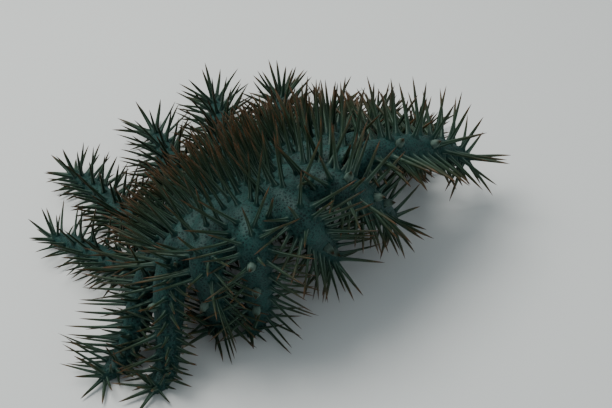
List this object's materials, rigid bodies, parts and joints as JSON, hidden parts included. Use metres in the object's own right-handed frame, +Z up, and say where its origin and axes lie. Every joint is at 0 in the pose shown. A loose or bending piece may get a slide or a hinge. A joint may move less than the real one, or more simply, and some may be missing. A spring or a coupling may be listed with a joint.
{
  "type": "crown of thorns starfish",
  "caption": "Life-size crown of thorns starfish with its humped disc tilted, near side high, arms draped down to the floor and long tapered spines all over its upper side.",
  "frame": {"origin": "middle of the footprint's bounding box, on the floor", "axes": "+Z up; +X towards the right of the picture's view, +Y away from its camera"},
  "size_m": [0.3095, 0.3105, 0.1151],
  "materials": {
    "skin": "moist blue-grey skin with dark papulae, spines with olive shafts and orange-red tips",
    "mouth": "pale buff plates and oral spines round the mouth"
  },
  "bodies": {
    "root": {"disc": "skin", "mouth": "mouth", "arm_01": "skin", "arm_02": "skin", "arm_03": "skin", "arm_04": "skin", "arm_05": "skin", "arm_06": "skin", "arm_07": "skin", "arm_08": "skin", "arm_09": "skin", "arm_10": "skin", "arm_11": "skin", "arm_12": "skin", "arm_13": "skin", "arm_14": "skin", "arm_15": "skin"}
  },
  "joints": []
}
